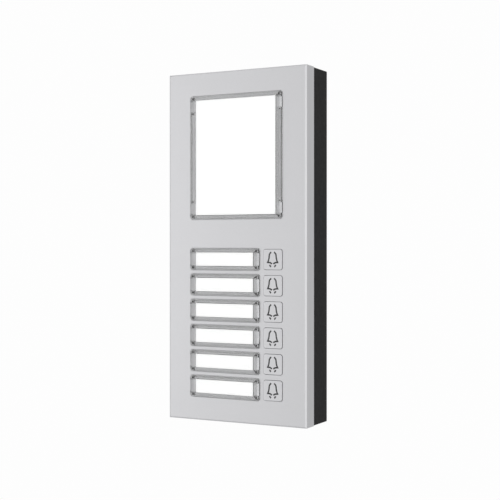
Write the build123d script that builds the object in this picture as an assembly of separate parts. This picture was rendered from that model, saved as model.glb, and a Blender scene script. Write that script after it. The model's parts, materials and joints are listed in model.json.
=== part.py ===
from build123d import *
import os

# A surface-mount door intercom panel: an aluminium front with one information window, six name
# windows and six bell buttons, on a moulded back box that is screwed to the wall.
#
# Frame: +X to the right, +Z up, +Y into the wall. The wall is the plane Y = 0 and the origin is
# the middle of the box's rear face. "Depth" means distance from the wall towards the front (-Y).

# ---- Driving dimensions, mm ----

# Front panel, a shallow aluminium tray
panel_width = 119.0
panel_height = 269.0
panel_front = 38.0  # depth of the panel's face
panel_skin = 2.5
panel_wall = 2.0
panel_corner = 0.4
panel_chamfer = 1.1
tray_inner_corner = 0.4
panel_rear = 24.5  # depth of the tray's rear edge
skin_back = panel_front - panel_skin

# Back box
box_inset = 0.3  # how far the box stands inside the panel's outline, all round
box_wall = 3.2
box_floor = 2.5
box_corner = 0.6
box_rear_edge = 0.3
lip_rise = 5.0
lip_clearance = 0.3
box_width = panel_width - 2 * box_inset
box_height = panel_height - 2 * box_inset
cavity_width = box_width - 2 * box_wall
cavity_height = box_height - 2 * box_wall
tray_inner_width = panel_width - 2 * panel_wall
tray_inner_height = panel_height - 2 * panel_wall
lip_width = tray_inner_width - 2 * lip_clearance
lip_height = tray_inner_height - 2 * lip_clearance
lip_front = panel_rear + lip_rise
seal_thickness = 1.2
seal_width = 2.4
hook_width = 12.0
hook_thickness = 1.8
hook_rise = 0.9  # above the tray's inner wall
hook_depth = panel_rear + 2.0
hook_play = 0.3

# Fixings of the box to the wall, and the cable's way in
wall_screw_spacing_x = 84.0
wall_screw_spacing_z = 210.0
wall_screw_hole = 2.25  # radius
wall_boss_radius = 6.0
wall_boss_front = 5.5
cable_entry_z = 62.0
cable_bore = 4.5  # radius
grommet_neck_radius = 10.0
grommet_flange_radius = 12.3
grommet_sleeve_radius = 7.0
grommet_sunk = 0.1  # below the box's rear face
grommet_seat = 0.8  # thickness of the rear flange's seat in the wall
grommet_sleeve_front = 9.0

# Clear windows, all of one cross-section
window_gap = 0.2  # between a window and its pocket in the panel
window_corner = 2.0
window_edge_proud = 0.6  # where the bevel starts, above the panel's face
window_top_proud = 1.5
window_bevel = 1.6
window_plate = 1.0
window_wall = 1.0
card_wall = 1.0
side_border = 5.4  # from the window's outer edge to the white area, left and right
pocket_depth = 1.2
ledge_front = panel_front - pocket_depth
plate_back = panel_front + window_top_proud - window_plate
air_gap = 0.08  # under the windows' walls, which stand on small feet, and over the cards
wall_back = ledge_front + air_gap
channel = (side_border - window_wall - card_wall) / 2  # half its width, between the two walls
peg_radius = 0.8
pin_radius = 0.45  # of the large window's extra pegs
peg_clearance = 0.3  # in the holes of the ledge, all round
peg_tip = skin_back + 0.3
pin_inset = window_wall + 0.85  # from the window's left or right edge to a pin's middle
peg_inset = 2.3  # from the window's top or bottom edge to a peg's middle
foot_height = 0.9
foot_inset = 3.5  # from the window's top or bottom edge to a foot's middle
guide_hole_margin = 0.3  # the hole in the ledge is this much larger than the white area, all round
bead = 0.3  # how far a snap bead stands out from the wall
bead_height = 0.4
bead_groove = 0.15  # depth of the groove in the pocket's side that a bead snaps into
bead_slack = 0.1

info_width = 79.6
info_height = 95.6
info_z = 68.65
info_end_border = 3.4
info_block_length = 7.8
info_block_z = 39.5  # blocks stand this far above and below the window's middle
info_pin_z = 34.2
info_blocks = [info_z - info_block_z, info_z + info_block_z]
info_pins = [info_z - info_pin_z, info_z + info_pin_z]

name_width = 60.6
name_height = 17.05
name_x = -9.5
name_end_border = 3.3
name_block_length = 9.4

row_count = 6
row_pitch = 19.65
first_row_z = -9.75
row_heights = [first_row_z - row_pitch * row for row in range(row_count)]

# Bell buttons
button_x = 32.0
button_width = 15.5
button_height = 15.2
button_gap = 0.3
button_corner = 1.6
button_proud = 0.6
button_travel = 1.0
button_edge = 0.25
button_wall = 1.5
button_roof = 1.6
button_rib = 0.9
flange_overhang = 1.0
flange_thickness = 1.4
flange_slack = 0.2
stem_radius = 2.4
stem_seal_clearance = 0.05
symbol_stroke = 1.2
symbol_depth = 0.5
symbol_recess = 0.05

# Inner frame (chassis) that carries the buttons and light guides
chassis_back = lip_front + seal_thickness
chassis_plate = 2.0
chassis_front = chassis_back + chassis_plate
chassis_clearance = 0.2
chassis_rim = 1.6
seal_ring_radius = 4.2
seal_ring_back = chassis_front - 1.2
guide_clearance = 0.3
guide_wall = 1.2
stem_hole_radius = 2.9
info_light_opening = (58.0, 78.0)
name_light_opening = (40.0, 5.0)
screw_boss_radius = 3.2
screw_bite = 0.05  # a threaded hole is this much wider than its screw, all round
light_guide_clearance = 0.5
card_thickness = 0.3
card_front = plate_back - air_gap
card_margin = 0.05

# Circuit board and what stands on it
board_thickness = 1.6
board_front = 25.6
board_back = board_front - board_thickness
board_width = 104.0
board_height = 242.0
switch_size = 6.0
switch_height = 3.6
plunger_radius = 1.6
plunger_front = 31.0
plunger_length = 3.0
plunger_clearance = 0.05
led_size = (3.5, 2.8)
led_base = 0.8
led_dome = 0.3
led_dome_radius = 1.1
chip_size = 9.0
chip_thickness = 1.2
chip_pins_per_side = 8
chip_pin_pitch = 0.8
chip_pin_length = 1.2
chip_pin_width = 0.35
capacitor_radius = 3.15
capacitor_length = 7.7
terminal_ways = 4
terminal_pitch = 5.08
terminal_x = -20.0
terminal_z = 20.0
terminal_height = 9.0
terminal_back = board_back - 10.0
terminal_screw_front = terminal_back + 3.4
terminal_screw_radius = 1.8
wire_hole_size = (3.2, 3.6, 6.0)
link_pin_pitch = 2.5
link_z = -30.0
link_ways = 4
link_height = 5.8
link_wall = 1.0
link_rise = 7.0

# Screws
chassis_screw_spots = [(x, z) for x in (-51.0, 51.0) for z in (-126.0, 8.0, 126.0)]
board_screw_spots = [(x, z) for x in (-47.0, 47.0) for z in (-112.0, -3.0, 112.0)]
screw_clearance = 0.2
chassis_screw_radius = 1.5
board_screw_radius = 1.25
lock_screw_radius = 1.25
lock_screw_x = 40.0
lock_screw_depth = 27.5
lock_screw_length = 8.0
lock_head_radius = 2.3
lock_head_height = 1.1
insert_radius = 1.9
insert_bottom = -cavity_height / 2
insert_top = insert_bottom + 5.0
lock_boss_size = 9.0
lock_boss_rise = 8.5

os.makedirs("parts", exist_ok=True)


# ---- Building blocks ----


def at_depth(depth, x=0.0, z=0.0):
    """A sketch plane parallel to the wall, facing the front, centred on x and z."""
    return Plane(origin=(x, -depth, z), x_dir=(1, 0, 0), z_dir=(0, -1, 0))


def outline(width, height, corner=0.0):
    """A rectangle, with rounded corners where corner is a radius."""
    if corner > 0:
        return RectangleRounded(width, height, corner)
    return Rectangle(width, height)


def plate(width, height, back, front, x=0.0, z=0.0, corner=0.0):
    """A flat piece parallel to the wall, from one depth to another."""
    return extrude(at_depth(back, x, z) * outline(width, height, corner), amount=front - back)


def disc(radius, back, front, x=0.0, z=0.0):
    """A round piece whose axis points to the front."""
    return extrude(at_depth(back, x, z) * Circle(radius), amount=front - back)


def frame(width, height, wall, back, front, x=0.0, z=0.0, corner=0.0):
    """A rectangular ring whose outer size is given."""
    inner_corner = max(corner - wall, 0.0)
    ring = plate(width, height, back, front, x, z, corner)
    return ring - plate(width - 2 * wall, height - 2 * wall, back, front, x, z, inner_corner)


def post_up(radius, x, depth, bottom, top):
    """A round piece whose axis is vertical."""
    plane = Plane(origin=(x, -depth, bottom), x_dir=(1, 0, 0), z_dir=(0, 0, 1))
    return extrude(plane * Circle(radius), amount=top - bottom)


def group(pieces):
    """Separate solids that share one node."""
    return Compound(children=list(pieces))


def pan_screw(head_radius, seat, shank_radius, tip, x, z):
    """A pan-head screw driven from the rear, with a cross-shaped recess in its head."""
    head_back = seat - head_radius * 0.65
    recess_depth = 0.9
    arm = head_radius * 1.1
    blade = 0.7
    head = disc(head_radius, head_back, seat, x, z)
    rear_rim = head.edges().filter_by(GeomType.CIRCLE).sort_by(Axis.Y)[-1:]
    head = fillet(rear_rim, radius=0.5)
    for width, height in ((arm, blade), (blade, arm)):
        head -= plate(width, height, head_back, head_back + recess_depth, x, z)
    return head + disc(shank_radius, seat, tip, x, z)


# ---- Front panel ----


def make_front_panel():
    tray = plate(panel_width, panel_height, panel_rear, panel_front)
    front_face = tray.faces().sort_by(Axis.Y)[0]
    tray = chamfer(front_face.edges(), length=panel_chamfer)
    tray = fillet(tray_corner_edges(tray), radius=panel_corner)
    tray -= plate(tray_inner_width, tray_inner_height, panel_rear, skin_back, corner=tray_inner_corner)
    tray -= window_pocket(info_width, info_height, 0.0, info_z, info_end_border)
    tray -= peg_holes(info_width, info_height, 0.0, info_z, info_pins)
    tray -= bead_grooves(info_width, 0.0, info_blocks, info_block_length)
    for row_z in row_heights:
        tray -= window_pocket(name_width, name_height, name_x, row_z, name_end_border)
        tray -= peg_holes(name_width, name_height, name_x, row_z, [])
        tray -= bead_grooves(name_width, name_x, [row_z], name_block_length)
        tray -= plate(
            button_width + 2 * button_gap,
            button_height + 2 * button_gap,
            skin_back,
            panel_front,
            button_x,
            row_z,
            button_corner + button_gap,
        )
    for x, z in chassis_screw_spots:
        tray += disc(screw_boss_radius, chassis_front, skin_back, x, z)
        tray -= disc(chassis_screw_radius + screw_bite, chassis_front, skin_back + 1.0, x, z)
    bottom = -panel_height / 2
    for x in (-lock_screw_x, lock_screw_x):
        hole_radius = lock_screw_radius + screw_clearance
        tray -= post_up(hole_radius, x, lock_screw_depth, bottom, bottom + panel_wall)
        tray -= lock_cone(x, bottom, lock_head_radius + 0.1, hole_radius)
        tray -= hook_pocket(x)
    return tray


def tray_corner_edges(tray):
    """The edges at the tray's four outer corners, up its sides and over its chamfer."""
    reach = (panel_width / 2 - panel_chamfer - 0.01, panel_height / 2 - panel_chamfer - 0.01)
    return [
        edge
        for edge in tray.edges()
        if abs(edge.center().X) > reach[0] and abs(edge.center().Z) > reach[1]
    ]


def window_pocket(width, height, x, z, end_border):
    """The sunk seat of a window, and the through hole for its light guide."""
    seat = plate(
        width + 2 * window_gap,
        height + 2 * window_gap,
        ledge_front,
        panel_front,
        x,
        z,
        window_corner + window_gap,
    )
    hole_width = width - 2 * side_border + 2 * guide_hole_margin
    hole_height = height - 2 * end_border + 2 * guide_hole_margin
    return seat + plate(hole_width, hole_height, skin_back, ledge_front, x, z)


def window_pegs(width, height, x, z, pin_heights):
    """The middle and radius of each peg: one in every corner, and pins at the given heights."""
    across = width / 2 - window_wall - channel
    up = height / 2 - peg_inset
    pin_across = width / 2 - pin_inset
    pegs = []
    for side in (-1, 1):
        for end in (-1, 1):
            pegs.append((x + side * across, z + end * up, peg_radius))
        for pin_z in pin_heights:
            pegs.append((x + side * pin_across, pin_z, pin_radius))
    return pegs


def peg_holes(width, height, x, z, pin_heights):
    """Holes in the ledge for a window's pegs."""
    return Part() + [
        disc(radius + peg_clearance, skin_back, ledge_front, peg_x, peg_z)
        for peg_x, peg_z, radius in window_pegs(width, height, x, z, pin_heights)
    ]


def bead_grooves(width, x, bead_heights, length):
    """Grooves at the foot of a pocket's left and right sides, which the beads snap into."""
    reach = width / 2 + window_gap + bead_groove / 2
    front = wall_back + bead_height + bead_slack
    return Part() + [
        plate(bead_groove, length + 2 * bead_slack, ledge_front, front, x + side * reach, z)
        for side in (-1, 1)
        for z in bead_heights
    ]


def lock_cone(x, bottom, lower_radius, upper_radius):
    """The cone of a countersunk lock screw's head, or of the seat for it."""
    plane = Plane(origin=(x, -lock_screw_depth, bottom), x_dir=(1, 0, 0), z_dir=(0, 0, 1))
    from_its_base = (Align.CENTER, Align.CENTER, Align.MIN)
    return plane * Cone(lower_radius, upper_radius, lock_head_height, align=from_its_base)


def hook_pocket(x):
    """A blind pocket inside the tray's top wall, which the box's hook enters."""
    rise = hook_rise + hook_play
    pocket = Box(hook_width + 2 * hook_play, hook_thickness + 2 * hook_play, rise)
    return Pos(x, -hook_depth, tray_inner_height / 2 + rise / 2) * pocket


# ---- Windows, cards and light guides ----


def make_window(width, height, x, z, end_border, block_heights, block_length, pin_heights):
    """A clear snap-in window: a bevelled cap with two walls, pegs, feet and snap beads."""
    cap = window_shell(width, height, x, z)
    card_area_width = width - 2 * side_border
    card_area_height = height - 2 * end_border
    cap += frame(
        card_area_width + 2 * card_wall,
        card_area_height + 2 * card_wall,
        card_wall,
        wall_back,
        plate_back,
        x,
        z,
    )
    for peg_x, peg_z, radius in window_pegs(width, height, x, z, pin_heights):
        cap += disc(radius, peg_tip, plate_back, peg_x, peg_z)
    foot_x = width / 2 - window_wall / 2
    foot_z = height / 2 - foot_inset
    for side in (-1, 1):
        for end in (-1, 1):
            cap += plate(
                window_wall,
                foot_height,
                ledge_front,
                plate_back,
                x + side * foot_x,
                z + end * foot_z,
            )
        for block_z in block_heights:
            cap += channel_block(width, x, side, block_z, block_length)
            cap += snap_bead(width, x, side, block_z, block_length)
    return cap


def window_shell(width, height, x, z):
    """The cap's plate and outer wall, with a bevel that rises from the panel's face."""
    bevel_start = panel_front + window_edge_proud
    shell = plate(width, height, wall_back, bevel_start, x, z, window_corner)
    lower = at_depth(bevel_start, x, z) * outline(width, height, window_corner)
    upper = at_depth(panel_front + window_top_proud, x, z) * outline(
        width - 2 * window_bevel, height - 2 * window_bevel, window_corner - window_bevel
    )
    shell += loft([lower.face(), upper.face()])
    return shell - plate(
        width - 2 * window_wall,
        height - 2 * window_wall,
        wall_back,
        plate_back,
        x,
        z,
        window_corner - window_wall,
    )


def channel_block(width, x, side, z, length):
    """A solid block between the outer and inner walls, which stiffens the window at a bead."""
    outer = width / 2
    inner = width / 2 - side_border
    middle = (outer + inner) / 2
    return plate(outer - inner, length, wall_back, plate_back, x + side * middle, z)


def snap_bead(width, x, side, z, length):
    """A small bead along the outer wall's rear edge."""
    middle = width / 2 - window_wall + (window_wall + bead) / 2
    return plate(window_wall + bead, length, wall_back, wall_back + bead_height, x + side * middle, z)


def make_light_guide(width, height, x, z, end_border):
    """The white diffusing block behind a card, standing on the chassis."""
    block_width = width - 2 * side_border - light_guide_clearance
    block_height = height - 2 * end_border - light_guide_clearance
    return plate(block_width, block_height, chassis_front, card_front - card_thickness, x, z)


def make_card(width, height, x, z, end_border):
    return plate(
        width - 2 * (side_border + card_margin),
        height - 2 * (end_border + card_margin),
        card_front - card_thickness,
        card_front,
        x,
        z,
    )


# ---- Buttons ----


def bell_outline():
    """A bell in two mirrored halves with a gap between them: side and rim, and clapper."""
    side_and_rim = Curve() + [
        ThreePointArc((1.1, 5.5), (2.3, 4.5), (2.85, 3.1)),
        Line((2.85, 3.1), (3.05, 1.1)),
        Line((3.05, 1.1), (3.4, -0.5)),
        Line((3.4, -0.5), (4.15, -2.15)),
        Line((4.15, -2.15), (2.2, -2.3)),
        Line((2.2, -2.3), (0.5, -3.2)),
    ]
    clapper = ThreePointArc((2.45, -3.9), (2.05, -4.8), (1.3, -5.4))
    half = trace(side_and_rim, line_width=symbol_stroke)
    half += trace(clapper, line_width=symbol_stroke)
    return half + mirror(half, about=Plane.YZ)


def make_bell_symbol(z):
    back = panel_front + button_proud - symbol_depth
    face = at_depth(back, button_x, z) * bell_outline()
    return extrude(face, amount=symbol_depth - symbol_recess)


def make_bell_button(z):
    front = panel_front + button_proud
    flange_front = skin_back - flange_slack
    flange_back = flange_front - flange_thickness
    cap = plate(button_width, button_height, flange_back, front, button_x, z, button_corner)
    cap = fillet(cap.faces().sort_by(Axis.Y)[0].edges(), radius=button_edge)
    inner_width = button_width - 2 * button_wall
    inner_height = button_height - 2 * button_wall
    roof_back = front - button_roof
    cap -= plate(inner_width, inner_height, flange_back, roof_back, button_x, z)
    cap += frame(
        button_width + 2 * flange_overhang,
        button_height + 2 * flange_overhang,
        flange_overhang + button_wall,
        flange_back,
        flange_front,
        button_x,
        z,
    )
    cap += disc(stem_radius, plunger_front, roof_back, button_x, z)
    for width, height in ((inner_width, button_rib), (button_rib, inner_height)):
        cap += plate(width, height, flange_back, roof_back, button_x, z)
    symbol_back = front - symbol_depth
    recess = extrude(at_depth(symbol_back, button_x, z) * bell_outline(), amount=symbol_depth)
    return cap - recess


# ---- Inner frame ----


def make_chassis():
    width = tray_inner_width - 2 * chassis_clearance
    height = tray_inner_height - 2 * chassis_clearance
    body = plate(width, height, chassis_back, chassis_front)
    body += frame(width, height, chassis_rim, chassis_front, skin_back)
    body -= plate(*info_light_opening, chassis_back, chassis_front, 0.0, info_z, 2.0)
    guide_width = button_width + 2 * (flange_overhang + guide_clearance)
    guide_height = button_height + 2 * (flange_overhang + guide_clearance)
    grid_height = row_pitch * (row_count - 1) + guide_height + 2 * guide_wall
    grid_z = (row_heights[0] + row_heights[-1]) / 2
    body += plate(
        guide_width + 2 * guide_wall, grid_height, chassis_front, skin_back, button_x, grid_z
    )
    for z in row_heights:
        body -= plate(guide_width, guide_height, chassis_front, skin_back, button_x, z)
        body -= plate(*name_light_opening, chassis_back, chassis_front, name_x, z, 1.0)
        body -= disc(stem_hole_radius, chassis_back, chassis_front, button_x, z)
        body -= disc(seal_ring_radius, seal_ring_back, chassis_front, button_x, z)
    for x, z in chassis_screw_spots:
        hole_radius = chassis_screw_radius + screw_clearance
        body -= disc(hole_radius, chassis_back, chassis_front, x, z)
    for x, z in board_screw_spots:
        body += disc(screw_boss_radius, board_front, chassis_back, x, z)
        body -= disc(board_screw_radius + screw_bite, board_front, chassis_back + 1.0, x, z)
    return body


def make_stem_seals():
    """A rubber ring round each button's stem, in a pocket of the chassis."""
    rings = []
    for z in row_heights:
        ring = disc(seal_ring_radius, seal_ring_back, chassis_front, button_x, z)
        bore = stem_radius + stem_seal_clearance
        rings.append(ring - disc(bore, seal_ring_back, chassis_front, button_x, z))
    return group(rings)


def make_panel_seal():
    """The rubber ring between the back box's lip and the chassis."""
    return frame(lip_width, lip_height, seal_width, lip_front, chassis_back)


# ---- Circuit board ----


def make_circuit_board():
    board = plate(board_width, board_height, board_back, board_front, corner=3.0)
    for x, z in board_screw_spots:
        board -= disc(board_screw_radius + screw_clearance, board_back, board_front, x, z)
    return board


def make_switch_bodies():
    bodies = []
    for z in row_heights:
        body = plate(
            switch_size, switch_size, board_front, board_front + switch_height, button_x, z, 0.5
        )
        bore_back = plunger_front - plunger_length - button_travel - 0.2
        bore = plunger_radius + plunger_clearance
        bodies.append(body - disc(bore, bore_back, board_front + switch_height, button_x, z))
    return group(bodies)


def make_plunger(z):
    return disc(plunger_radius, plunger_front - plunger_length, plunger_front, button_x, z)


def make_leds(spots):
    """White side-by-side chips on the board's front, each with a domed lens."""
    leds = []
    for x, z in spots:
        dome_back = board_front + led_base
        base = plate(*led_size, board_front, dome_back, x, z, 0.3)
        leds.append(base + disc(led_dome_radius, dome_back, dome_back + led_dome, x, z))
    return group(leds)


def make_controller():
    """A flat processor package on the board's rear, with a row of pins on each side."""
    x, z = 20.0, 30.0
    chip = plate(chip_size, chip_size, board_back - chip_thickness, board_back - 0.1, x, z)
    pins_back = board_back - chip_thickness / 2
    along, across = chip_pin_width, chip_pin_length
    for pin in range(chip_pins_per_side):
        step = (pin - (chip_pins_per_side - 1) / 2) * chip_pin_pitch
        for side in (-1, 1):
            reach = side * (chip_size / 2 + across / 3)
            chip += plate(across, along, pins_back, board_back, x + reach, z + step)
            chip += plate(along, across, pins_back, board_back, x + step, z + reach)
    return chip


def make_capacitors():
    """Two round electrolytic cans on the board's rear."""
    rear = board_back - capacitor_length
    return group(disc(capacitor_radius, rear, board_back, x, 8.0) for x in (12.0, 21.0))


def make_chip_parts():
    """Small chip resistors and capacitors on the board's rear."""
    return group(
        plate(2.0, 1.25, board_back - 0.6, board_back, 8.0 + 4.0 * column, 42.0 + 3.0 * line)
        for column in range(6)
        for line in range(3)
    )


def terminal_spots():
    first = terminal_x - terminal_pitch * (terminal_ways - 1) / 2
    return [first + terminal_pitch * way for way in range(terminal_ways)]


def make_bus_terminal():
    """A screw terminal block on the board's rear, whose wire holes face up."""
    width = terminal_pitch * terminal_ways
    body = plate(width, terminal_height, terminal_back, board_back, terminal_x, terminal_z)
    for x in terminal_spots():
        hole_z = terminal_z + (terminal_height - wire_hole_size[2]) / 2
        body -= Pos(x, -(board_back - 3.2), hole_z) * Box(*wire_hole_size)
        screw_hole = terminal_screw_radius + screw_clearance
        body -= disc(screw_hole, terminal_back, terminal_screw_front, x, terminal_z)
    return body


def make_terminal_screws():
    screws = []
    for x in terminal_spots():
        head_back = terminal_back + 1.2
        screw = disc(terminal_screw_radius, head_back, terminal_screw_front, x, terminal_z)
        slot_length = 2 * terminal_screw_radius
        slot = plate(slot_length, 0.6, head_back, head_back + 0.8, x, terminal_z)
        screws.append(screw - slot)
    return group(screws)


def make_link_connector():
    """A shrouded pin header on the board's rear, for the lead to the next panel."""
    width = link_pin_pitch * (link_ways + 1)
    rear = board_back - link_rise
    shroud = plate(width, link_height, rear, board_back, 0.0, link_z)
    inside = (width - 2 * link_wall, link_height - 2 * link_wall)
    return shroud - plate(*inside, rear, board_back - 1.2, 0.0, link_z)


def make_link_pins():
    return group(
        plate(0.64, 0.64, board_back - 5.5, board_back - 1.2, (pin - 1.5) * link_pin_pitch, link_z)
        for pin in range(link_ways)
    )


# ---- Back box ----


def make_back_box():
    box = plate(box_width, box_height, 0.0, panel_rear, corner=box_corner)
    rear_edges = box.faces().sort_by(Axis.Y)[-1].edges()
    box = fillet(rear_edges, radius=box_rear_edge)
    box += plate(lip_width, lip_height, panel_rear, lip_front, corner=0.4)
    box -= plate(cavity_width, cavity_height, box_floor, lip_front, corner=0.4)
    for x in (-wall_screw_spacing_x / 2, wall_screw_spacing_x / 2):
        for z in (-wall_screw_spacing_z / 2, wall_screw_spacing_z / 2):
            box += disc(wall_boss_radius, box_floor, wall_boss_front, x, z)
            box -= disc(wall_screw_hole, 0.0, wall_boss_front, x, z)
    box -= disc(grommet_neck_radius, 0.0, box_floor, 0.0, cable_entry_z)
    box -= disc(grommet_flange_radius + 0.2, 0.0, grommet_seat, 0.0, cable_entry_z)
    for x in (-lock_screw_x, lock_screw_x):
        box += lock_boss(x)
        hole_radius = lock_screw_radius + screw_clearance
        box -= post_up(hole_radius, x, lock_screw_depth, -lip_height / 2, insert_top + 2.5)
        box -= post_up(insert_radius, x, lock_screw_depth, insert_bottom, insert_top)
        box += hook(x)
    return box


def lock_boss(x):
    """The block inside the box's lower wall that holds a lock screw's insert."""
    back = lip_front - lock_boss_size
    middle = insert_bottom + lock_boss_rise / 2
    return plate(lock_boss_size, lock_boss_rise, back, lip_front, x, middle)


def hook(x):
    """A tab on the lip's top that the panel hangs from."""
    rise = lip_clearance + hook_rise
    tab = Box(hook_width, hook_thickness, rise)
    return Pos(x, -hook_depth, lip_height / 2 + rise / 2) * tab


def make_lock_inserts():
    inserts = []
    for x in (-lock_screw_x, lock_screw_x):
        insert = post_up(insert_radius, x, lock_screw_depth, insert_bottom, insert_top)
        bore = lock_screw_radius + screw_bite
        inserts.append(insert - post_up(bore, x, lock_screw_depth, insert_bottom, insert_top))
    return group(inserts)


def make_lock_screws():
    """Countersunk screws that go up through the panel's lower wall."""
    screws = []
    bottom = -panel_height / 2 + 0.1
    for x in (-lock_screw_x, lock_screw_x):
        screw = lock_cone(x, bottom, lock_head_radius, lock_screw_radius)
        tip = bottom + lock_screw_length
        screw += post_up(lock_screw_radius, x, lock_screw_depth, bottom, tip)
        plane = Plane(origin=(x, -lock_screw_depth, bottom), x_dir=(1, 0, 0), z_dir=(0, 0, 1))
        screws.append(screw - extrude(plane * RegularPolygon(0.8, 6), amount=1.2))
    return group(screws)


def make_cable_grommet():
    """A rubber bush in the box's rear wall, sunk so that nothing stands off the wall."""
    z = cable_entry_z
    inner_flange_front = box_floor + 1.8
    bush = disc(grommet_flange_radius, grommet_sunk, grommet_seat, 0.0, z)
    bush += disc(grommet_neck_radius, grommet_seat, box_floor, 0.0, z)
    bush += disc(grommet_flange_radius, box_floor, inner_flange_front, 0.0, z)
    bush += disc(grommet_sleeve_radius, inner_flange_front, grommet_sleeve_front, 0.0, z)
    return bush - disc(cable_bore, grommet_sunk, grommet_sleeve_front, 0.0, z)


# ---- Export ----


def save(name, shape):
    export_step(shape, f"parts/{name}.step")


save("front_panel", make_front_panel())
save("back_box", make_back_box())
save("chassis", make_chassis())
save("panel_seal", make_panel_seal())
save("stem_seals", make_stem_seals())
save("cable_grommet", make_cable_grommet())

info_box = (info_width, info_height, 0.0, info_z, info_end_border)
save("info_window", make_window(*info_box, info_blocks, info_block_length, info_pins))
save("info_card", make_card(*info_box))
save("info_light_guide", make_light_guide(*info_box))

for row, z in enumerate(row_heights, start=1):
    name_box = (name_width, name_height, name_x, z, name_end_border)
    save(f"name_window_{row}", make_window(*name_box, [z], name_block_length, []))
    save(f"name_card_{row}", make_card(*name_box))
    save(f"name_light_guide_{row}", make_light_guide(*name_box))
    save(f"bell_button_{row}", make_bell_button(z))
    save(f"bell_symbol_{row}", make_bell_symbol(z))
    save(f"switch_plunger_{row}", make_plunger(z))

save("circuit_board", make_circuit_board())
save("switch_bodies", make_switch_bodies())
info_led_spots = [(x, info_z + z) for x in (-20.0, 0.0, 20.0) for z in (-28.0, 0.0, 28.0)]
name_led_spots = [(name_x + x, z) for x in (-12.0, 12.0) for z in row_heights]
save("info_leds", make_leds(info_led_spots))
save("name_leds", make_leds(name_led_spots))
save("controller_chip", make_controller())
save("capacitors", make_capacitors())
save("chip_parts", make_chip_parts())
save("bus_terminal", make_bus_terminal())
save("terminal_screws", make_terminal_screws())
save("link_connector", make_link_connector())
save("link_pins", make_link_pins())

save(
    "chassis_screws",
    group(
        pan_screw(2.8, chassis_back, chassis_screw_radius, chassis_front + 3.5, x, z)
        for x, z in chassis_screw_spots
    ),
)
save(
    "board_screws",
    group(
        pan_screw(2.4, board_back, board_screw_radius, chassis_back + 0.5, x, z)
        for x, z in board_screw_spots
    ),
)
save("lock_inserts", make_lock_inserts())
save("lock_screws", make_lock_screws())
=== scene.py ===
import json
import math

import bpy
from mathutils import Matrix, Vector


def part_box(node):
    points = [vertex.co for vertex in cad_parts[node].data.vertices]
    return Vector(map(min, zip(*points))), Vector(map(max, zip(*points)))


# A door intercom panel: bead-blasted aluminium front, clear windows over white cards, six bell
# buttons and a black back box. Metres, +X right, +Z up, the wall is the plane Y = 0.

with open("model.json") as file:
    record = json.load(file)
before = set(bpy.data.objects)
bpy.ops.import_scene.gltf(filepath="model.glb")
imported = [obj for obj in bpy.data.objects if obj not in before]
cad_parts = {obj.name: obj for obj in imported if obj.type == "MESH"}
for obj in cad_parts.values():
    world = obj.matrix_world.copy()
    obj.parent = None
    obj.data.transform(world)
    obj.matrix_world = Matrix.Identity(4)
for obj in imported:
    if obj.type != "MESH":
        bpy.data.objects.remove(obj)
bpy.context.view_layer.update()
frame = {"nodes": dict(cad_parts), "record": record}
MM = 0.001


# ---- Camera ----

CAMERA_AZIMUTH = math.radians(27.95)  # to the right of straight ahead
CAMERA_TILT = math.radians(0.18)  # downwards
CAMERA_DISTANCE = 845.6 * MM  # to the aim point, which is level with the panel's middle
AIM_SIDEWAYS = 11.06 * MM  # the aim point is this far right of the face's middle
LENS_MM = 79.9
SENSOR_MM = 36.0


def add_camera():
    low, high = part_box("front_panel")
    face_middle = Vector(((low.x + high.x) / 2, low.y, (low.z + high.z) / 2))
    right = Vector((math.cos(CAMERA_AZIMUTH), math.sin(CAMERA_AZIMUTH), 0.0))
    towards_camera = Vector((math.sin(CAMERA_AZIMUTH), -math.cos(CAMERA_AZIMUTH), 0.0))
    data = bpy.data.cameras.new("camera")
    data.lens = LENS_MM
    data.sensor_width = SENSOR_MM
    camera = bpy.data.objects.new("camera", data)
    camera.location = face_middle + AIM_SIDEWAYS * right + CAMERA_DISTANCE * towards_camera
    camera.rotation_euler = (math.radians(90) - CAMERA_TILT, 0.0, CAMERA_AZIMUTH)
    bpy.context.scene.collection.objects.link(camera)
    bpy.context.scene.camera = camera


# ---- Studio ----

BACKDROP_WHITE = 0.985
TENT_LEVEL = 0.81
TENT_SLOPE = (0.30, -0.26, 0.04)  # brighter to the right and in front
LIGHT_AIM = Vector((0.0, -0.02, 0.0))  # the middle of the panel

FLOOR_LEFT = -1.3
FLOOR_RIGHT = 1.3
FLOOR_FRONT = -1.8
FLOOR_BACK = 1.0
FLOOR_HEIGHT = -1.35
FLOOR_COLOUR = (0.9, 0.9, 0.9, 1.0)
FLOOR_ROUGHNESS = 0.8


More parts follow.
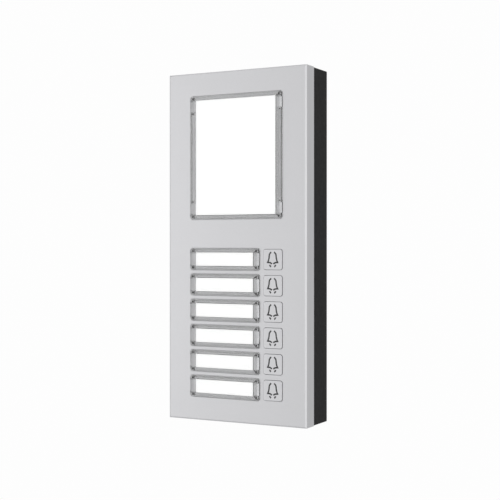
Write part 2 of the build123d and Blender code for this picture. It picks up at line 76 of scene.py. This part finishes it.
def add_world():
    """A soft light tent, a little brighter in front and to the right, seen as plain white."""
    world = bpy.data.worlds.new("light_tent")
    bpy.context.scene.world = world
    world.use_nodes = True
    tree = world.node_tree
    tree.nodes.clear()
    direction = tree.nodes.new("ShaderNodeTexCoord")
    slope = tree.nodes.new("ShaderNodeVectorMath")
    slope.operation = "DOT_PRODUCT"
    slope.inputs[1].default_value = TENT_SLOPE
    level = tree.nodes.new("ShaderNodeMath")
    level.operation = "ADD"
    level.inputs[1].default_value = TENT_LEVEL
    tent = tree.nodes.new("ShaderNodeBackground")
    seen = tree.nodes.new("ShaderNodeBackground")
    seen.inputs["Color"].default_value = (1.0, 1.0, 1.0, 1.0)
    seen.inputs["Strength"].default_value = BACKDROP_WHITE
    ray = tree.nodes.new("ShaderNodeLightPath")
    choose = tree.nodes.new("ShaderNodeMixShader")
    output = tree.nodes.new("ShaderNodeOutputWorld")
    tree.links.new(direction.outputs["Generated"], slope.inputs[0])
    tree.links.new(slope.outputs["Value"], level.inputs[0])
    tree.links.new(level.outputs["Value"], tent.inputs["Strength"])
    tree.links.new(ray.outputs["Is Camera Ray"], choose.inputs["Fac"])
    tree.links.new(tent.outputs["Background"], choose.inputs[1])
    tree.links.new(seen.outputs["Background"], choose.inputs[2])
    tree.links.new(choose.outputs["Shader"], output.inputs["Surface"])


def add_softbox(name, location, size, watts):
    """A square area light aimed at the middle of the panel."""
    data = bpy.data.lights.new(name, "AREA")
    data.shape = "SQUARE"
    data.size = size
    data.energy = watts
    light = bpy.data.objects.new(name, data)
    light.location = location
    aim = LIGHT_AIM - light.location
    light.rotation_euler = aim.to_track_quat("-Z", "Y").to_euler()
    bpy.context.scene.collection.objects.link(light)


def add_floor():
    """A plain pale floor, far enough below that the wall panel hangs clear of it."""
    corners = [
        (FLOOR_LEFT, FLOOR_FRONT, FLOOR_HEIGHT),
        (FLOOR_RIGHT, FLOOR_FRONT, FLOOR_HEIGHT),
        (FLOOR_RIGHT, FLOOR_BACK, FLOOR_HEIGHT),
        (FLOOR_LEFT, FLOOR_BACK, FLOOR_HEIGHT),
    ]
    mesh = bpy.data.meshes.new("floor")
    mesh.from_pydata(corners, [], [(0, 1, 2, 3)])
    floor = bpy.data.objects.new("floor", mesh)
    bpy.context.scene.collection.objects.link(floor)
    paint = bpy.data.materials.new("floor_paint")
    paint.use_nodes = True
    shader = paint.node_tree.nodes["Principled BSDF"]
    shader.inputs["Base Color"].default_value = FLOOR_COLOUR
    shader.inputs["Roughness"].default_value = FLOOR_ROUGHNESS
    mesh.materials.append(paint)


# ---- Material building blocks ----

NOISE_LOW, NOISE_HIGH = 0.3, 0.7  # most of a noise's values lie between these
MIX_COLOUR_A, MIX_COLOUR_B = 6, 7  # the colour inputs of a Mix node
MIX_COLOUR_RESULT = 2  # and its colour output
EDGE_SAMPLES = 4


class Recipe:
    """A material with a Principled shader, and short ways to add the nodes that feed it."""

    def __init__(self, name):
        self.material = bpy.data.materials.new(name)
        self.material.use_nodes = True
        self.tree = self.material.node_tree
        self.tree.nodes.clear()
        self.shader = self.node("ShaderNodeBsdfPrincipled")
        output = self.node("ShaderNodeOutputMaterial")
        self.link(self.shader.outputs["BSDF"], output.inputs["Surface"])
        self.place = self.node("ShaderNodeTexCoord").outputs["Object"]

    def node(self, kind):
        return self.tree.nodes.new(kind)

    def link(self, start, end):
        self.tree.links.new(start, end)

    def set(self, **values):
        """Sets shader inputs that are the same all over, such as specular_ior_level."""
        for name, value in values.items():
            title = name.replace("_", " ").title().replace("Ior", "IOR")
            self.shader.inputs[title].default_value = value

    def noise(self, size, detail=2.0, roughness=0.5):
        """Soft noise whose blotches are about size metres across."""
        noise = self.node("ShaderNodeTexNoise")
        noise.inputs["Scale"].default_value = 1.0 / size
        noise.inputs["Detail"].default_value = detail
        noise.inputs["Roughness"].default_value = roughness
        self.link(self.place, noise.inputs["Vector"])
        return noise.outputs["Fac"]

    def pebbles(self, size):
        """Rounded cells about size metres across, as a spark-eroded mould leaves."""
        cells = self.node("ShaderNodeTexVoronoi")
        cells.inputs["Scale"].default_value = 1.0 / size
        self.link(self.place, cells.inputs["Vector"])
        return cells.outputs["Distance"]

    def mix(self, factor, first, second):
        """A colour between two, each a colour or a socket."""
        blend = self.node("ShaderNodeMix")
        blend.data_type = "RGBA"
        self.link(factor, blend.inputs["Factor"])
        for index, value in ((MIX_COLOUR_A, first), (MIX_COLOUR_B, second)):
            if isinstance(value, bpy.types.NodeSocket):
                self.link(value, blend.inputs[index])
            else:
                blend.inputs[index].default_value = (*value, 1.0)
        return blend.outputs[MIX_COLOUR_RESULT]

    def edges(self, radius, sharpness=6.0):
        """Near 1 within radius metres of an outer edge, and 0 on flat faces."""
        rounded = self.node("ShaderNodeBevel")
        rounded.samples = EDGE_SAMPLES
        rounded.inputs["Radius"].default_value = radius
        flat = self.node("ShaderNodeNewGeometry")
        agree = self.node("ShaderNodeVectorMath")
        agree.operation = "DOT_PRODUCT"
        self.link(rounded.outputs["Normal"], agree.inputs[0])
        self.link(flat.outputs["Normal"], agree.inputs[1])
        apart = self.node("ShaderNodeMath")
        apart.operation = "MULTIPLY_ADD"
        apart.use_clamp = True
        apart.inputs[1].default_value = -sharpness
        apart.inputs[2].default_value = sharpness
        self.link(agree.outputs["Value"], apart.inputs[0])
        return apart.outputs["Value"]

    def colour(self, value):
        self.link(value, self.shader.inputs["Base Color"])

    def roughness(self, value, low, high):
        """Roughness from low to high, as a noise goes through most of its range."""
        scale = self.node("ShaderNodeMapRange")
        scale.inputs["From Min"].default_value = NOISE_LOW
        scale.inputs["From Max"].default_value = NOISE_HIGH
        scale.inputs["To Min"].default_value = low
        scale.inputs["To Max"].default_value = high
        self.link(value, scale.inputs["Value"])
        self.link(scale.outputs["Result"], self.shader.inputs["Roughness"])

    def bump(self, height, depth, strength):
        """Relief depth metres deep, from a height of 0 to 1."""
        bump = self.node("ShaderNodeBump")
        bump.inputs["Distance"].default_value = depth
        bump.inputs["Strength"].default_value = strength
        self.link(height, bump.inputs["Height"])
        self.link(bump.outputs["Normal"], self.shader.inputs["Normal"])


def brighter(tone, factor, lift=0.0):
    """A tone times a factor plus a lift, with no channel above 1."""
    return tuple(min(channel * factor + lift, 1.0) for channel in tone)


def shades(tone, spread):
    """A darker and a lighter colour around a tone."""
    return brighter(tone, 1 - spread), brighter(tone, 1 + spread)


# ---- Materials ----


def anodised_aluminium(name, tone):
    """Bead-blasted and clear anodised: a fine matt grain, faint clouds and a painted highlight that makes
    the edges brighter.
    """
    r = Recipe(name)
    r.set(metallic=1.0)
    clouds = r.mix(r.noise(size=30 * MM, detail=4.0), *shades(tone, 0.012))
    # Painted highlight: the colour turns brighter within 0.35 mm of the edges.
    painted_edge_highlight = r.edges(radius=0.35 * MM)
    r.colour(r.mix(painted_edge_highlight, clouds, brighter(tone, 1.12)))
    r.roughness(r.noise(size=1.2 * MM, detail=3.0), low=0.42, high=0.50)
    r.bump(r.noise(size=0.22 * MM), depth=0.012 * MM, strength=0.35)
    return r.material


def moulded_plastic(name, tone, roughness=0.5, grain=0.35 * MM, depth=0.02 * MM, shine=0.5):
    """Moulded plastic with an eroded grain, slight mottling and a painted highlight that makes the edges
    lighter.
    """
    r = Recipe(name)
    r.set(specular_ior_level=shine)
    mottle = r.mix(r.noise(size=9 * MM, detail=3.0), *shades(tone, 0.05))
    # Painted highlight: the colour turns lighter within 0.3 mm of the edges.
    painted_rim_highlight = r.edges(radius=0.3 * MM)
    r.colour(r.mix(painted_rim_highlight, mottle, brighter(tone, 1.25, lift=0.004)))
    r.roughness(r.noise(size=2.5 * MM, detail=3.0), low=roughness - 0.05, high=roughness + 0.05)
    r.bump(r.pebbles(size=grain), depth=depth, strength=0.5)
    return r.material


def rubber(name, tone):
    """Matt rubber with a dusty bloom and a painted highlight that makes the edges paler."""
    r = Recipe(name)
    bloom = r.mix(r.noise(size=3 * MM, detail=5.0), *shades(tone, 0.15))
    # Painted highlight: the colour turns paler within 0.3 mm of the edges.
    painted_rim_highlight = r.edges(radius=0.3 * MM)
    r.colour(r.mix(painted_rim_highlight, bloom, brighter(tone, 1.5)))
    r.roughness(r.noise(size=1 * MM, detail=3.0), low=0.72, high=0.86)
    r.bump(r.noise(size=0.5 * MM, detail=4.0), depth=0.03 * MM, strength=0.5)
    return r.material


def clear_polycarbonate(name):
    """Clear moulded polycarbonate: hair-fine haze from wiping, and a painted shade that darkens the tint
    at the edges.
    """
    r = Recipe(name)
    r.set(transmission_weight=1.0, ior=1.585)
    clouds = r.mix(r.noise(size=12 * MM), (0.988, 0.992, 0.988), (0.998, 1.0, 0.998))
    # Painted shade: the tint turns darker within 0.15 mm of the edges.
    painted_edge_shade = r.edges(radius=0.15 * MM)
    r.colour(r.mix(painted_edge_shade, clouds, (0.96, 0.965, 0.96)))
    r.roughness(r.noise(size=4 * MM, detail=6.0, roughness=0.7), low=0.03, high=0.09)
    r.bump(r.noise(size=6 * MM), depth=0.01 * MM, strength=0.1)
    return r.material


def white_card(name):
    """Plain white card with a faint fibre and a painted glow: an emission that stands in for the backlight
    behind it.
    """
    r = Recipe(name)
    # Painted glow: the emission stands in for light shining through from behind.
    r.set(roughness=0.7, emission_color=(1.0, 1.0, 1.0, 1.0), emission_strength=0.56)
    r.colour(r.mix(r.noise(size=0.8 * MM, detail=6.0), (0.90, 0.90, 0.90), (0.94, 0.94, 0.935)))
    r.bump(r.noise(size=0.3 * MM, detail=5.0), depth=0.01 * MM, strength=0.3)
    return r.material


def opal_plastic(name):
    """Milky light-guide plastic with a painted glow, an emission that stands in for the lamps behind it,
    and a painted highlight on its edges.
    """
    r = Recipe(name)
    # Painted glow: the emission stands in for the light of the lamps behind it.
    r.set(emission_color=(1.0, 1.0, 1.0, 1.0), emission_strength=0.12)
    clouds = r.mix(r.noise(size=5 * MM), (0.84, 0.84, 0.83), (0.88, 0.88, 0.88))
    # Painted highlight: the colour turns lighter within 0.3 mm of the edges.
    painted_rim_highlight = r.edges(radius=0.3 * MM)
    r.colour(r.mix(painted_rim_highlight, clouds, (0.91, 0.91, 0.91)))
    r.roughness(r.noise(size=2 * MM, detail=3.0), low=0.3, high=0.42)
    r.bump(r.pebbles(size=0.3 * MM), depth=0.005 * MM, strength=0.4)
    return r.material


def plated_metal(name, tone, roughness):
    """Plated or turned metal: fine streaks, small stains and a painted highlight that brightens the edges.
    """
    r = Recipe(name)
    r.set(metallic=1.0)
    stains = r.mix(r.noise(size=1.5 * MM, detail=4.0), *shades(tone, 0.08))
    # Painted highlight: the colour turns brighter within 0.15 mm of the edges.
    painted_edge_glint = r.edges(radius=0.15 * MM)
    r.colour(r.mix(painted_edge_glint, stains, brighter(tone, 1.2)))
    r.roughness(r.noise(size=0.6 * MM, detail=3.0), low=roughness - 0.06, high=roughness + 0.1)
    r.bump(r.noise(size=0.12 * MM), depth=0.006 * MM, strength=0.4)
    return r.material


def board_laminate(name):
    """Green solder mask over copper, slightly glossy, with bare laminate at the cut edges."""
    r = Recipe(name)
    mask = r.mix(r.noise(size=2 * MM, detail=1.0), (0.012, 0.10, 0.035), (0.02, 0.15, 0.055))
    cut = r.edges(radius=0.3 * MM)
    r.colour(r.mix(cut, mask, (0.28, 0.27, 0.15)))
    r.roughness(r.noise(size=1 * MM, detail=3.0), low=0.24, high=0.36)
    r.bump(r.noise(size=0.9 * MM, detail=1.0), depth=0.02 * MM, strength=0.4)
    return r.material


def build_materials():
    """One material for each slot of the record."""
    return {
        "front_aluminium": anodised_aluminium("front_aluminium", (0.688, 0.688, 0.703)),
        "button_metal": anodised_aluminium("button_metal", (0.70, 0.70, 0.715)),
        "symbol_smoke": moulded_plastic(
            "symbol_smoke", (0.035, 0.035, 0.037), roughness=0.4, grain=0.2 * MM
        ),
        "clear_window": clear_polycarbonate("clear_window"),
        "white_card": white_card("white_card"),
        "light_guide": opal_plastic("light_guide"),
        "black_shell": moulded_plastic("black_shell", (0.008, 0.008, 0.008), roughness=0.6, shine=0.17),
        "inner_frame": moulded_plastic("inner_frame", (0.09, 0.09, 0.095)),
        "seal_rubber": rubber("seal_rubber", (0.02, 0.02, 0.02)),
        "grommet_rubber": rubber("grommet_rubber", (0.03, 0.03, 0.03)),
        "board_laminate": board_laminate("board_laminate"),
        "switch_plastic": moulded_plastic("switch_plastic", (0.03, 0.03, 0.03)),
        "plunger_plastic": moulded_plastic("plunger_plastic", (0.70, 0.66, 0.54), roughness=0.35),
        "led_white": moulded_plastic(
            "led_white", (0.85, 0.75, 0.35), roughness=0.2, grain=0.2 * MM, depth=0.004 * MM
        ),
        "chip_black": moulded_plastic("chip_black", (0.025, 0.025, 0.025), roughness=0.45, grain=0.1 * MM),
        "chip_ceramic": moulded_plastic("chip_ceramic", (0.33, 0.25, 0.16), grain=0.1 * MM),
        "capacitor_can": plated_metal("capacitor_can", (0.70, 0.70, 0.71), roughness=0.25),
        "terminal_green": moulded_plastic("terminal_green", (0.03, 0.22, 0.08), roughness=0.42),
        "connector_ivory": moulded_plastic("connector_ivory", (0.72, 0.69, 0.56), roughness=0.4),
        "contact_brass": plated_metal("contact_brass", (0.72, 0.55, 0.25), roughness=0.25),
        "insert_brass": plated_metal("insert_brass", (0.68, 0.50, 0.22), roughness=0.35),
        "screw_steel": plated_metal("screw_steel", (0.60, 0.60, 0.62), roughness=0.28),
        "lock_screw_steel": plated_metal("lock_screw_steel", (0.62, 0.62, 0.63), roughness=0.25),
    }


def dress_cad_nodes(materials):
    for row in frame["record"]["subparts"]:
        mesh = frame["nodes"][row["node"]].data
        mesh.materials.clear()
        mesh.materials.append(materials[row["material_slot"]])


# ---- The scene ----

add_camera()
add_world()
add_floor()
add_softbox("left_softbox", location=(-1.4, -0.9, 0.0), size=1.45, watts=5.2)
add_softbox("right_softbox", location=(1.6, -0.95, 0.0), size=0.8, watts=1.2)
add_softbox("top_softbox", location=(-0.7, -0.25, 1.4), size=0.8, watts=1.2)
bpy.context.scene.view_settings.view_transform = "Standard"
dress_cad_nodes(build_materials())
